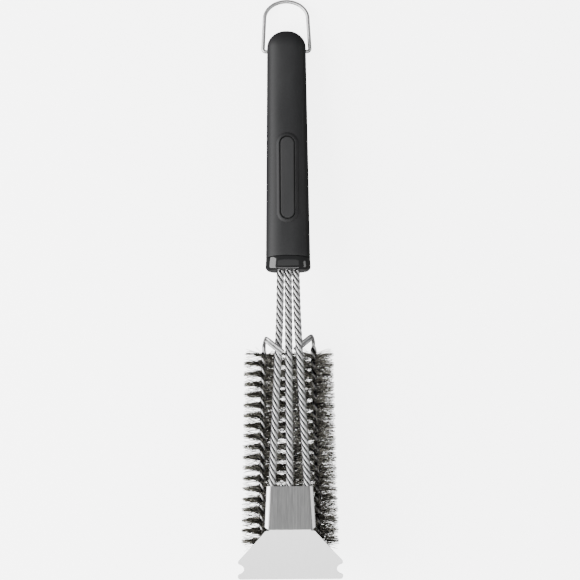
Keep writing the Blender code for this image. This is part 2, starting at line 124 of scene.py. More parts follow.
def face_outwards(piece: bpy.types.Object, merge: float = 1e-6) -> None:
    """Merge a closed mesh's doubles and turn all its faces outwards.

    Args:
        piece: The object to clean.
        merge: How close two points are to count as one.
    """
    take_up(piece)
    bpy.ops.object.mode_set(mode="EDIT")
    bpy.ops.mesh.select_all(action="SELECT")
    bpy.ops.mesh.remove_doubles(threshold=merge)
    bpy.ops.mesh.normals_make_consistent(inside=False)
    bpy.ops.object.mode_set(mode="OBJECT")


def finish_piece(piece: bpy.types.Object, dress: bpy.types.Material, body: str,
                 stands_for: Sequence[str], place: Matrix, sharp: float = 35.0) -> None:
    """Put a finished mesh in its place, dress it and hand it to its body.

    Args:
        piece: The finished mesh object, at the origin.
        dress: Its material.
        body: The body that it rides on.
        stands_for: The CAD nodes that it replaces.
        place: The matrix from the piece's own space to the frame.
        sharp: The angle in degrees past which an edge stays sharp.
    """
    piece.data.transform(place)
    take_up(piece)
    bpy.ops.object.shade_smooth_by_angle(angle=math.radians(sharp))
    piece.data.materials.clear()
    piece.data.materials.append(dress)
    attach(piece, body)
    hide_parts(*stands_for)
    LOG.info("%s: %d faces", piece.name, len(piece.data.polygons))


def dress_node(name: str, dress: bpy.types.Material) -> None:
    """Give a CAD node that keeps its own mesh a material.

    Args:
        name: The node's name.
        dress: Its material.
    """
    materials = frame["nodes"][name].data.materials
    materials.clear()
    materials.append(dress)


def mesh_piece(name: str, points: np.ndarray, faces: Sequence[Sequence[int]]) -> bpy.types.Object:
    """A mesh object from its points and faces.

    Args:
        name: The object's name.
        points: One row of coordinates for each point.
        faces: The point numbers of each face.

    Returns:
        The linked object.
    """
    mesh = bpy.data.meshes.new(name)
    mesh.from_pydata([tuple(p) for p in points], [], [tuple(f) for f in faces])
    piece = bpy.data.objects.new(name, mesh)
    bpy.context.scene.collection.objects.link(piece)
    return piece


def arc(centre: Point, radius: float, start: float, end: float, steps: int) -> list[Point]:
    """Points on an arc, both ends among them.

    Args:
        centre: The arc's centre.
        radius: Its radius.
        start: The angle it starts at, in degrees.
        end: The angle it ends at, in degrees.
        steps: The number of steps between them.

    Returns:
        The points in order.
    """
    angles = [math.radians(start + (end - start) * i / steps) for i in range(steps + 1)]
    return [(centre[0] + radius * math.cos(a), centre[1] + radius * math.sin(a)) for a in angles]


def mix(a: float, b: float, share: Number) -> Number:
    """The value a share of the way from a to b."""
    return a + (b - a) * share


def ease(share: float) -> float:
    """A smooth step from 0 to 1."""
    share = min(1.0, max(0.0, share))
    return share * share * (3.0 - 2.0 * share)


@dataclass
class Sweep:
    """A closed section that is pulled along Y by extruding and resizing it.

    Stations are (y, half width, half height).
    """

    name: str
    points: int
    roundness: float
    across: Callable[[int, int], float] = field(default=lambda i, n: 2.0 * math.pi * i / n)

    def begin(self, station: Triple) -> bpy.types.Object:
        """Add the first ring and shape it as a rounded oval.

        Args:
            station: Where the first ring stands, and its size.

        Returns:
            The object, in edit mode, with its ring selected.
        """
        y, width, height = station
        nothing_selected()
        bpy.ops.mesh.primitive_circle_add(vertices=self.points, radius=1.0, location=(0.0, 0.0, 0.0))
        piece = bpy.context.object
        piece.name = self.name
        for i, vertex in enumerate(piece.data.vertices):
            angle = self.across(i, self.points)
            c, s = math.cos(angle), math.sin(angle)
            x = math.copysign(abs(c) ** (2.0 / self.roundness), c) * width
            z = math.copysign(abs(s) ** (2.0 / self.roundness), s) * height
            vertex.co = (x, y, z)
        bpy.ops.object.mode_set(mode="EDIT")
        bpy.ops.mesh.select_mode(type="EDGE")
        bpy.ops.mesh.select_all(action="SELECT")
        return piece

    def pull(self, before: Triple, after: Triple) -> None:
        """Extrude the selected ring to the next station and resize it there.

        Args:
            before: The station that the ring stands at.
            after: The station that it goes to.
        """
        step = (0.0, after[0] - before[0], 0.0)
        bpy.ops.mesh.extrude_edges_move(TRANSFORM_OT_translate={"value": step})
        size = (after[1] / before[1], 1.0, after[2] / before[2])
        bpy.ops.transform.resize(value=size, center_override=(0.0, after[0], 0.0))

    def run(self, stations: Sequence[Triple], ring_shaped: bool) -> bpy.types.Object:
        """Pull the section through all its stations and close it.

        Args:
            stations: Where the rings stand, and their sizes.
            ring_shaped: Whether the last ring joins the first, where it is otherwise capped.

        Returns:
            The closed piece, in object mode.
        """
        piece = self.begin(stations[0])
        if not ring_shaped:
            bpy.ops.mesh.edge_face_add()
            bpy.ops.mesh.select_all(action="DESELECT")
            bpy.ops.mesh.select_non_manifold()
        for before, after in zip(stations, stations[1:]):
            self.pull(before, after)
        if ring_shaped:
            bpy.ops.mesh.select_all(action="DESELECT")
            bpy.ops.mesh.select_non_manifold()
            bpy.ops.mesh.bridge_edge_loops()
        else:
            bpy.ops.mesh.edge_face_add()
        bpy.ops.object.mode_set(mode="OBJECT")
        face_outwards(piece)
        return piece


def wire_piece(name: str, path: Sequence[Vector], radius: float, roundness: int) -> bpy.types.Object:
    """A round wire along a path, with filled ends.

    Args:
        name: The object's name.
        path: The points of its centre line.
        radius: The wire's radius.
        roundness: The bevel resolution of its section.

    Returns:
        The wire as a mesh object.
    """
    curve = bpy.data.curves.new(name, "CURVE")
    curve.dimensions = "3D"
    curve.bevel_depth = radius
    curve.bevel_resolution = roundness
    curve.use_fill_caps = True
    spline = curve.splines.new("POLY")
    spline.points.add(len(path) - 1)
    for place, point in zip(spline.points, path):
        place.co = (*point, 1.0)
    piece = bpy.data.objects.new(name, curve)
    bpy.context.scene.collection.objects.link(piece)
    take_up(piece)
    bpy.ops.object.convert(target="MESH")
    piece = bpy.context.object
    face_outwards(piece)
    return piece


# ---------------------------------------------------------------- shader nodes


@dataclass(frozen=True)
class Signal:
    """A node's output that takes part in arithmetic."""

    graph: "Graph"
    socket: bpy.types.NodeSocket

    def maths(self, operation: str, first: Any, second: Any = 0.0) -> "Signal":
        """One Math node on two values.

        Args:
            operation: The node's operation.
            first: Its first value or signal.
            second: Its second value or signal.

        Returns:
            The node's result.
        """
        return self.graph.node("ShaderNodeMath", {"operation": operation}, {0: first, 1: second})

    def __add__(self, other: Any) -> "Signal":
        """The sum of two values."""
        return self.maths("ADD", self, other)

    def __radd__(self, other: Any) -> "Signal":
        """The sum of two values, the signal second."""
        return self.maths("ADD", other, self)

    def __mul__(self, other: Any) -> "Signal":
        """The product of two values."""
        return self.maths("MULTIPLY", self, other)

    def __rmul__(self, other: Any) -> "Signal":
        """The product of two values, the signal second."""
        return self.maths("MULTIPLY", other, self)


@dataclass
class Graph:
    """The node tree of one material."""

    material: bpy.types.Material

    @classmethod
    def begin(cls, name: str) -> "Graph":
        """A new material with an empty Principled shader.

        Args:
            name: The material's name.

        Returns:
            Its graph.
        """
        material = bpy.data.materials.new(name)
        material.use_nodes = True
        return cls(material)

    @property
    def shader(self) -> bpy.types.Node:
        """The material's Principled shader."""
        return self.material.node_tree.nodes["Principled BSDF"]

    def node(self, kind: str, settings: Mapping[str, Any], inputs: Mapping[Any, Any],
             output: Any = 0) -> Signal:
        """Add a node, set it up and connect it.

        Args:
            kind: The node's type.
            settings: Its own settings, which are set first.
            inputs: Values or signals for its sockets, by name or number.
            output: The socket that is read, by name or number.

        Returns:
            The chosen output.
        """
        made = self.material.node_tree.nodes.new(kind)
        for key, value in settings.items():
            if key == "stops":
                self.set_stops(made, value)
            else:
                setattr(made, key, value)
        for key, value in inputs.items():
            self.feed(made.inputs[key], value)
        return Signal(self, made.outputs[output])

    def feed(self, socket: bpy.types.NodeSocket, value: Any) -> None:
        """Link a signal to a socket, or set the socket's value.

        Args:
            socket: The socket that is fed.
            value: A signal or a plain value.
        """
        if isinstance(value, Signal):
            self.material.node_tree.links.new(value.socket, socket)
        else:
            socket.default_value = value

    @staticmethod
    def set_stops(ramp: bpy.types.Node, stops: Sequence[tuple[float, Colour]]) -> None:
        """Set a colour ramp's stops.

        Args:
            ramp: The ramp node.
            stops: Each stop's position and colour.
        """
        elements = ramp.color_ramp.elements
        while len(elements) < len(stops):
            elements.new(1.0)
        for element, (position, colour) in zip(elements, stops):
            element.position = position
            element.color = (*colour, 1.0)

    def place(self, scale: Triple) -> Signal:
        """Coordinates in tool space, stretched for a pattern.

        Args:
            scale: The pattern's repeats per metre across, along and through the tool.

        Returns:
            The coordinates.
        """
        where = self.node("ShaderNodeTexCoord", {}, {}, "Object")
        home = {"Vector": where, "Location": TO_TOOL.translation, "Rotation": TO_TOOL.to_euler()}
        turned = self.node("ShaderNodeMapping", {}, home)
        return self.node("ShaderNodeMapping", {}, {"Vector": turned, "Scale": scale})

    def noise(self, scale: Triple, detail: float = 2.0, roughness: float = 0.5) -> Signal:
        """A noise value between 0 and 1 in tool space.

        Args:
            scale: Its repeats per metre across, along and through the tool.
            detail: Its number of finer layers.
            roughness: How strong they are.

        Returns:
            The noise.
        """
        inputs = {"Vector": self.place(scale), "Scale": 1.0, "Detail": detail, "Roughness": roughness}
        return self.node("ShaderNodeTexNoise", {}, inputs, "Fac")

    def ramp(self, value: Signal, stops: Sequence[tuple[float, Colour]]) -> Signal:
        """A colour picked from a ramp."""
        return self.node("ShaderNodeValToRGB", {"stops": stops}, {"Fac": value}, "Color")

    def rise(self, value: Signal, low: float, high: float, way: str = "LINEAR") -> Signal:
        """How far a value has risen from low to high, as a share kept between 0 and 1.

        Args:
            value: The value.
            low: Where the share is 0.
            high: Where the share is 1.
            way: The Map Range node's interpolation.

        Returns:
            The share.
        """
        settings = {"clamp": True, "interpolation_type": way}
        inputs = {"Value": value, "From Min": low, "From Max": high}
        return self.node("ShaderNodeMapRange", settings, inputs, "Result")

    def blend(self, share: Signal, first: Any, second: Any) -> Signal:
        """A colour between two colours."""
        return self.node("ShaderNodeMix", {"data_type": "RGBA"}, {0: share, 6: first, 7: second}, 2)

    def attribute(self, name: str) -> Signal:
        """A value that the mesh carries for each of its points."""
        return self.node("ShaderNodeAttribute", {"attribute_name": name}, {}, "Fac")

    def bump(self, height: Signal, distance: float, strength: float) -> Signal:
        """A normal bent by a height pattern."""
        inputs = {"Height": height, "Distance": distance, "Strength": strength}
        return self.node("ShaderNodeBump", {}, inputs, "Normal")

    def wire_up(self, inputs: Mapping[str, Any]) -> bpy.types.Material:
        """Feed the Principled shader and hand the material over.

        Args:
            inputs: Values or signals for the shader's sockets.

        Returns:
            The finished material.
        """
        for key, value in inputs.items():
            self.feed(self.shader.inputs[key], value)
        return self.material


def grey(value: float) -> Colour:
    """A neutral colour."""
    return (value, value, value)


# ---------------------------------------------------------------- finishes


@dataclass(frozen=True)
class SoftTouch:
    """Matte soft-touch plastic: near black, with a fine grain and faint handling marks."""

    name: str
    dark: Colour = (0.011, 0.011, 0.012)
    light: Colour = (0.018, 0.018, 0.019)
    roughness: float = 0.48

    def dress(self) -> bpy.types.Material:
        """Build the material."""
        graph = Graph.begin(self.name)
        marks = graph.noise((60.0, 25.0, 60.0), 3.0, 0.55)
        grain = graph.noise((2600.0, 2600.0, 2600.0), 1.0)
        colour = graph.ramp(marks, ((0.30, self.dark), (0.75, self.light)))
        rough = self.roughness + marks * 0.10 + grain * 0.06
        return graph.wire_up({
            "Base Color": colour,
            "Roughness": rough,
            "Specular IOR Level": 0.36,
            "Normal": graph.bump(grain, 0.00004, 0.35),
        })


@dataclass(frozen=True)
class GlossPlastic:
    """Gloss black plastic with the faintest orange peel."""

    name: str
    colour: Colour = (0.010, 0.010, 0.011)

    def dress(self) -> bpy.types.Material:
        """Build the material."""
        graph = Graph.begin(self.name)
        peel = graph.noise((350.0, 350.0, 350.0), 1.0)
        smears = graph.noise((120.0, 90.0, 120.0), 3.0)
        return graph.wire_up({
            "Base Color": graph.ramp(smears, ((0.2, self.colour), (0.9, grey(0.016)))),
            "Roughness": 0.05 + smears * 0.07,
            "Specular IOR Level": 0.70,
            "Normal": graph.bump(peel, 0.00005, 0.10),
        })


@dataclass(frozen=True)
class DrawnWire:
    """Bright drawn steel wire, with fine draw lines, dull patches and painted shade darkening the grooves."""

    name: str
    light: float = 0.62
    dark: float = 0.46
    # the colour of the painted shade laid into the grooves between the wires
    painted_groove_shade: float = 0.06
    roughness: float = 0.33

    def dress(self) -> bpy.types.Material:
        """Build the material."""
        graph = Graph.begin(self.name)
        patches = graph.noise((500.0, 220.0, 500.0), 3.0, 0.6)
        lines = graph.noise((6000.0, 900.0, 6000.0), 1.0)
        metal = graph.ramp(patches, ((0.25, grey(self.dark)), (0.60, grey(self.light))))
        # the share of bare metal; points that face into the stem's grooves get painted shade instead
        clean = graph.rise(graph.attribute("proud") + patches * 0.06, 0.50, 0.98, "SMOOTHSTEP")
        return graph.wire_up({
            "Base Color": graph.blend(clean, (*grey(self.painted_groove_shade), 1.0), metal),
            "Metallic": 1.0,
            "Roughness": self.roughness + patches * 0.10 + lines * 0.06,
            "Normal": graph.bump(lines, 0.00003, 0.25),
        })


@dataclass(frozen=True)
class PlateSteel:
    """Plain dull steel sheet of the small back plate."""

    name: str

    def dress(self) -> bpy.types.Material:
        """Build the material."""
        graph = Graph.begin(self.name)
        patches = graph.noise((500.0, 60.0, 500.0), 3.0, 0.6)
        return graph.wire_up({
            "Base Color": graph.ramp(patches, ((0.3, grey(0.45)), (0.7, grey(0.65)))),
            "Metallic": 1.0,
            "Roughness": 0.32 + patches * 0.10,
            "Normal": graph.bump(patches, 0.00003, 0.2),
        })


@dataclass(frozen=True)
class PolishedWire:
    """Softly polished steel wire of the hang loop."""

    name: str

    def dress(self) -> bpy.types.Material:
        """Build the material."""
        graph = Graph.begin(self.name)
        wear = graph.noise((300.0, 300.0, 300.0), 3.0)
        return graph.wire_up({
            "Base Color": graph.ramp(wear, ((0.3, grey(0.62)), (0.8, grey(0.74)))),
            "Metallic": 1.0,
            "Roughness": 0.36 + wear * 0.12,
            "Normal": graph.bump(wear, 0.00002, 0.10),
        })


@dataclass(frozen=True)
class ShadedBrushedSheet:
    """Steel sheet: brushed lengthwise on the sleeve, whose outer top face is darkened with painted shade, and a
    finer, lighter satin on the blade and the sheet's other faces.
    """

    name: str
    bend_y: float
    top: float

    def dress(self) -> bpy.types.Material:
        """Build the material."""
        graph = Graph.begin(self.name)
        where = graph.place((1.0, 1.0, 1.0))
        along = graph.node("ShaderNodeSeparateXYZ", {}, {"Vector": where}, "Y")
        height = graph.node("ShaderNodeSeparateXYZ", {}, {"Vector": where}, "Z")
        # the sleeve's outer top face, the only place that gets the painted shade
        face = graph.rise(height, self.top - 0.0006, self.top - 0.0002)
        back = graph.rise(along, self.bend_y - 0.0005, self.bend_y + 0.0003)
        hair = graph.noise((2300.0, 60.0, 600.0), 3.0, 0.70)
        streak = graph.noise((700.0, 9.0, 200.0), 2.0, 0.6)
        grain = hair * 0.75 + streak * 0.25
        # brushed streaks over a painted shade that darkens the sleeve's top face
        brushed_and_shaded = graph.ramp(grain, ((0.34, grey(0.27)), (0.50, grey(0.37)), (0.66, grey(0.48))))
        satin = graph.ramp(streak, ((0.2, grey(0.84)), (0.8, grey(0.88))))
        relief = (hair * back) * 0.9 + hair * 0.1
        return graph.wire_up({
            "Base Color": graph.blend(back * face, satin, brushed_and_shaded),
            "Metallic": 1.0,
            "Roughness": 0.30 + back * 0.06 + hair * 0.08,
            "Normal": graph.bump(relief, 0.00004, 0.25),
        })


@dataclass(frozen=True)
class BristleSteel:
    """Dark steel bristles, each of its own tint between black, brown and dull silver; the tints also carry painted
    light, lighter on the brushes further right.
    """

    name: str

    def dress(self) -> bpy.types.Material:
        """Build the material."""
        graph = Graph.begin(self.name)
        stops = (
            (0.00, (0.028, 0.028, 0.026)),
            (0.40, (0.075, 0.070, 0.055)),
            (0.70, (0.240, 0.225, 0.185)),
            (1.00, (0.720, 0.700, 0.640)),
        )
        scale = graph.noise((900.0, 900.0, 900.0), 2.0)
        return graph.wire_up({
            "Base Color": graph.ramp(graph.attribute("tint"), stops),
            "Metallic": 0.60,
            "Roughness": 0.34 + scale * 0.20,
        })


@dataclass(frozen=True)
class PlainPlastic:
    """Moulded plastic that stays out of sight."""

    name: str

    def dress(self) -> bpy.types.Material:
        """Build the material."""
        graph = Graph.begin(self.name)
        grain = graph.noise((1500.0, 1500.0, 1500.0), 2.0)
        return graph.wire_up({
            "Base Color": graph.ramp(grain, ((0.3, grey(0.03)), (0.7, grey(0.05)))),
            "Roughness": 0.6 + grain * 0.15,
            "Normal": graph.bump(grain, 0.00005, 0.3),
        })


# ---------------------------------------------------------------- handle


@dataclass
class Handle:
    """The grip, its boss and label pad, and the end collar. Widths and heights are half sizes."""

    front: float = 0.2520
    front_round: float = 0.0006
    dome: float = 0.4176
    end: float = 0.4313
    width: float = 0.0152
    swell: float = 0.0021
    height_end: float = 0.0105
    height_front: float = 0.0115
    roundness: float = 2.7
    dome_roundness: float = 2.0
    seam_bow: float = 0.0014
    cavity_width: float = 0.0127
    cavity_height: float = 0.0077
    cavity_end: float = 0.4228
    pad_middle: float = 0.3132
    pad_width: float = 0.0052
    pad_length: float = 0.0320
    groove: float = 0.0009
    bevel: float = 0.0027
    bed_depth: float = 0.0013
    bed_margin: float = 0.0060
    boss_height: float = 0.00095
    boss_points: int = 144
    pad_top: float = 0.01165
    pivot: float = 0.4149
    hole: float = 0.0017
    collar_front: float = 0.2410
    collar_back: float = 0.2517
    collar_corner: float = 0.0034
    collar_width: float = 0.01765
    collar_height: float = 0.0118
    collar_wall: float = 0.0022
    slot_width: float = 0.0096
    slot_height: float = 0.0036
    slot_break: float = 0.0003
    grip_finish: SoftTouch = SoftTouch("soft_touch_grip")
    pad_finish: SoftTouch = SoftTouch("soft_touch_pad", (0.022, 0.022, 0.023),
                                      (0.030, 0.030, 0.031), 0.50)
    collar_finish: GlossPlastic = GlossPlastic("gloss_collar")
    core_finish: PlainPlastic = PlainPlastic("core_plastic")

    def half_width(self, y: float) -> float:
        """The grip's half width at a place along it.

        Args:
            y: The place.

        Returns:
            The half width, which shrinks round the dome.
        """
        if y > self.dome:
            return self.width * self.dome_shrink(y)
        return self.width + self.swell * (self.dome - y) / (self.dome - self.front)

    def half_height(self, y: float) -> float:
        """The grip's half thickness at a place along it.

        Args:
            y: The place.

        Returns:
            The half thickness, which shrinks round the dome.
        """
        if y > self.dome:
            return self.height_end * self.dome_shrink(y)
        return mix(self.height_front, self.height_end, (y - self.front) / (self.dome - self.front))

    def dome_shrink(self, y: float) -> float:
        """How much smaller the section is within the dome."""
        along = min(1.0, (y - self.dome) / (self.end - self.dome))
        return max(0.02, (1.0 - along**self.dome_roundness) ** (1.0 / self.dome_roundness))

    def stations(self) -> list[Triple]:
        """The grip's rings, from the butt round the front edge and into the cavity.

        Returns:
            The stations of the rings.
        """
        angles = np.radians(np.linspace(88.5, 3.0, 22))
        places = [mix(self.dome, self.end, math.sin(angle)) for angle in angles]
        low = self.pad_middle - self.pad_length - self.bed_margin
        high = self.pad_middle + self.pad_length + self.bed_margin
        places += list(np.linspace(self.dome, high, 24))
        places += list(np.linspace(high, low, 190))[1:]
        places += list(np.linspace(low, self.front + self.front_round + 0.0001, 8))[1:]
        rings = [(y, self.half_width(y), self.half_height(y)) for y in places]
        wide, tall = self.half_width(self.front), self.half_height(self.front)
        for angle in (30.0, 60.0, 90.0):
            inset = self.front_round * (1.0 - math.cos(math.radians(angle)))
            y = self.front + self.front_round * (1.0 - math.sin(math.radians(angle)))
            rings.append((y, wide - inset, tall - inset))
        rings.append((self.front, self.cavity_width + 0.0002, self.cavity_height + 0.0002))
        rings.append((self.front + 0.0002, self.cavity_width, self.cavity_height))
        rings.append((self.cavity_end, self.cavity_width - 0.0012, self.cavity_height))
        return rings

    def from_pad(self, x: float, y: float) -> float:
        """How far a point lies outside the pad's outline.

        Args:
            x: Its distance from the middle.
            y: Its place along the tool.

        Returns:
            The distance, which is negative within the pad.
        """
        straight = self.pad_length - self.pad_width
        along = y - self.pad_middle
        nearest = min(straight, max(-straight, along))
        return math.hypot(x, along - nearest) - self.pad_width

    def surface(self, x: float, y: float) -> float:
        """The height of the plain grip's top at a place on it."""
        fill = 1.0 - (abs(x) / self.half_width(y)) ** self.roundness
        return self.half_height(y) * max(0.0, fill) ** (1.0 / self.roundness)

    def sink_bed(self, grip: bpy.types.Object) -> None:
        """Sink the bed that the boss and the pad stand in.

        Args:
            grip: The grip, whose top points are moved.
        """
        for vertex in grip.data.vertices:
            x, y, z = vertex.co
            if z > 0.6 * self.half_height(y) and self.from_pad(x, y) < self.groove + 0.4 * self.bevel:
                vertex.co.z -= self.bed_depth

    def bow_seam(self, piece: bpy.types.Object) -> None:
        """Bow a piece's edge at the seam of grip and collar, which curves back in the middle.

        Args:
            piece: The grip or the collar, whose points near the seam are moved.
        """
        for vertex in piece.data.vertices:
            near = ease(1.0 - abs(vertex.co.y - self.front) / 0.0060)
            vertex.co.y -= self.seam_bow * near * (vertex.co.x / self.half_width(self.front)) ** 2

    def boss_profile(self) -> list[Point]:
        """The boss's section, from its foot over the bevel and the rim, and down the groove.

        Returns:
            How far each point lies outside the pad, and how high above the plain grip.
        """
        foot = self.groove + self.bevel
        profile = [(foot + 0.0004, -0.0003), (foot, 0.00002)]
        for share in (0.9, 0.8, 0.65, 0.5, 0.35, 0.2, 0.08):
            rise = self.boss_height * math.sin(0.5 * math.pi * (1.0 - share)) ** 0.7
            profile.append((self.groove + share * self.bevel, rise))
        profile.append((self.groove + 0.0001, self.boss_height - 0.00004))
        profile.append((self.groove, self.boss_height - 0.00016))
        floor = -self.bed_depth + 0.0002
        return profile + [(self.groove - 0.00005, floor), (-0.0005, floor)]

    def make_boss(self, dress: bpy.types.Material) -> None:
        """The softly bevelled boss round the pad, which follows the grip's top face.

        Args:
            dress: The grip's material.
        """
        profile = self.boss_profile()
        straight = self.pad_length - self.pad_width
        points, faces, around = [], [], self.boss_points
        for out, rise in profile:
            for i in range(around):
                angle = 2.0 * math.pi * (i + 0.5) / around
                x = (self.pad_width + out) * math.cos(angle)
                y = (self.pad_width + out) * math.sin(angle) + math.copysign(straight, math.sin(angle))
                y += self.pad_middle
                points.append((x, y, self.surface(x, y) + rise))
        for start in range(0, len(points) - around, around):
            for i in range(around):
                here, after = start + i, start + (i + 1) % around
                faces.append((here, after, after + around, here + around))
        boss = mesh_piece("label_boss", np.array(points), faces)
        face_outwards(boss)
        finish_piece(boss, dress, "tool", ["grip_shell"], TOOL, 50.0)

    def even_top(self, i: int, n: int) -> float:
        """Angles round the section that spread its points evenly across the flat faces.

        Args:
            i: The point's number.
            n: The number of points.

        Returns:
            The point's angle.
        """
        turn = 2.0 * math.pi * i / n
        return turn - 0.22 * math.sin(2.0 * (turn - 0.5 * math.pi))

    def make_grip(self, dress: bpy.types.Material) -> None:
        """The soft grip, with the bed of its boss and the two holes of the hang loop.

        Args:
            dress: Its material.
        """
        grip = Sweep("soft_grip", 168, self.roundness, self.even_top).run(self.stations(), False)
        self.sink_bed(grip)
        self.bow_seam(grip)
        nothing_selected()
        bpy.ops.mesh.primitive_cylinder_add(
            vertices=32, radius=self.hole, depth=0.05, location=(0.0, self.pivot, 0.0),
            rotation=(0.0, 0.5 * math.pi, 0.0))
        drill = bpy.context.object
        boolean = grip.modifiers.new("hole", "BOOLEAN")
        boolean.operation = "DIFFERENCE"
        boolean.object = drill
        fix_modifiers(grip)
        bpy.data.objects.remove(drill)
        finish_piece(grip, dress, "tool", ["grip_shell"], TOOL)

    def make_pad(self) -> None:
        """The plain pill-shaped pad, with a softened edge."""
        nothing_selected()
        bpy.ops.mesh.primitive_circle_add(vertices=96, radius=self.pad_width, fill_type="NGON")
        pad = bpy.context.object
        pad.name = "plain_label_pad"
        straight = self.pad_length - self.pad_width
        for vertex in pad.data.vertices:
            side = 1.0 if vertex.co.y > 0.0 else -1.0
            vertex.co.y += side * straight + self.pad_middle
            vertex.co.z = self.pad_top - 0.0015
        bpy.ops.object.mode_set(mode="EDIT")
        bpy.ops.mesh.select_all(action="SELECT")
        bpy.ops.mesh.extrude_region_move(TRANSFORM_OT_translate={"value": (0.0, 0.0, 0.0012)})
        softening = ((0.00006, 0.00012), (0.00009, 0.00009), (0.00014, 0.00005), (0.0006, 0.00004))
        for inset, rise in softening:
            bpy.ops.mesh.inset(thickness=inset, depth=rise)
        bpy.ops.object.mode_set(mode="OBJECT")
        face_outwards(pad)
        finish_piece(pad, self.pad_finish.dress(), "tool", ["label_pad"], TOOL, 50.0)

    def make_collar(self) -> None:
        """The gloss collar, a cap with rounded corners and a slot for the stems."""
        front, back, corner = self.collar_front, self.collar_back, self.collar_corner
        width, height = self.collar_width, self.collar_height
        inner = front + self.collar_wall
        rings = []
        for angle in np.linspace(0.0, 90.0, 12):
            inset = corner * (1.0 - math.sin(math.radians(angle)))
            y = front + corner * (1.0 - math.cos(math.radians(angle)))
            rings.append((y, width - inset, height - 0.3 * inset))
        rings.append((back - 0.0004, width - 0.00033, height - 0.00033))
        rings.append((back - 0.0001, width - 0.00042, height - 0.00042))
        rings.append((back, width - 0.0007, height - 0.0007))
        rings.append((back, self.cavity_width, self.cavity_height))
        rings.append((inner, self.cavity_width, self.cavity_height))
        rings.append((inner, self.slot_width, self.slot_height))
        rings.append((front + self.slot_break, self.slot_width, self.slot_height))
        rings.append((front, self.slot_width + self.slot_break, self.slot_height + self.slot_break))
        collar = Sweep("gloss_end_collar", 128, self.roundness).run(rings, True)
        self.bow_seam(collar)
        finish_piece(collar, self.collar_finish.dress(), "tool", ["end_collar"], TOOL)

    def build(self) -> None:
        """Make all the pieces of the handle."""
        soft = self.grip_finish.dress()
        self.make_grip(soft)
        self.make_boss(soft)
        self.make_pad()
        self.make_collar()
        dress_node("handle_core", self.core_finish.dress())


# ---------------------------------------------------------------- hang loop


@dataclass
class HangLoop:
    """The wire loop that swings on the grip's butt."""

    wire: float = 0.00142
    end: float = 0.0085
    bend: float = 0.0022
    foot: float = 0.0183
    shoulder: float = 0.0170
    leg: float = 0.0268
    reach: float = 0.04110
    finish: PolishedWire = PolishedWire("polished_loop")

    def path(self) -> list[Vector]:
        """The wire's centre line about its pivot.

        Returns:
            The points, from the right end round the bow to the left end.
        """
        half = [(self.end, 0.0)]
        half += arc((self.foot - self.bend, self.bend), self.bend, -90.0, 0.0, 8)
        for i in range(24):
            angle = 0.5 * math.pi * i / 24
            rise = (self.reach - self.leg) * math.sin(angle)
            half.append((self.shoulder * math.cos(angle), self.leg + rise))
        right = [Vector((x, y, 0.0)) for x, y in half]
        left = [Vector((-x, y, 0.0)) for x, y in reversed(half)]
        return right + [Vector((0.0, self.reach, 0.0))] + left

    def build(self) -> None:
        """Make the loop where its joint holds it."""
        joint = frame["joints"][0]
        low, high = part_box("hang_loop")
        pivot = Vector(joint["pos_m"])
        bow = Vector((0.0, high[1] - pivot.y - self.wire, low[2] - pivot.z + self.wire))
        droop = math.atan2(bow.z, bow.y)
        place = Matrix.Translation(pivot) @ Matrix.Rotation(droop, 4, "X")
        loop = wire_piece("polished_hang_loop", self.path(), self.wire, 6)
        finish_piece(loop, self.finish.dress(), "loop", ["hang_loop"], place)


# ---------------------------------------------------------------- wires


class Side(Enum):
    """The three stems and brushes, from left to right."""

    LEFT = -1
    CENTRE = 0
    RIGHT = 1


@dataclass
class Station:
    """A place on the line that wires are laid round, with their twist and distance from it, and how much painted
    shade darkens its grooves.
    """

    centre: Vector
    turn: float
    lay: float
    # how strongly painted shade darkens the grooves here, 0 where none is painted
    painted_groove_shade: float = 1.0


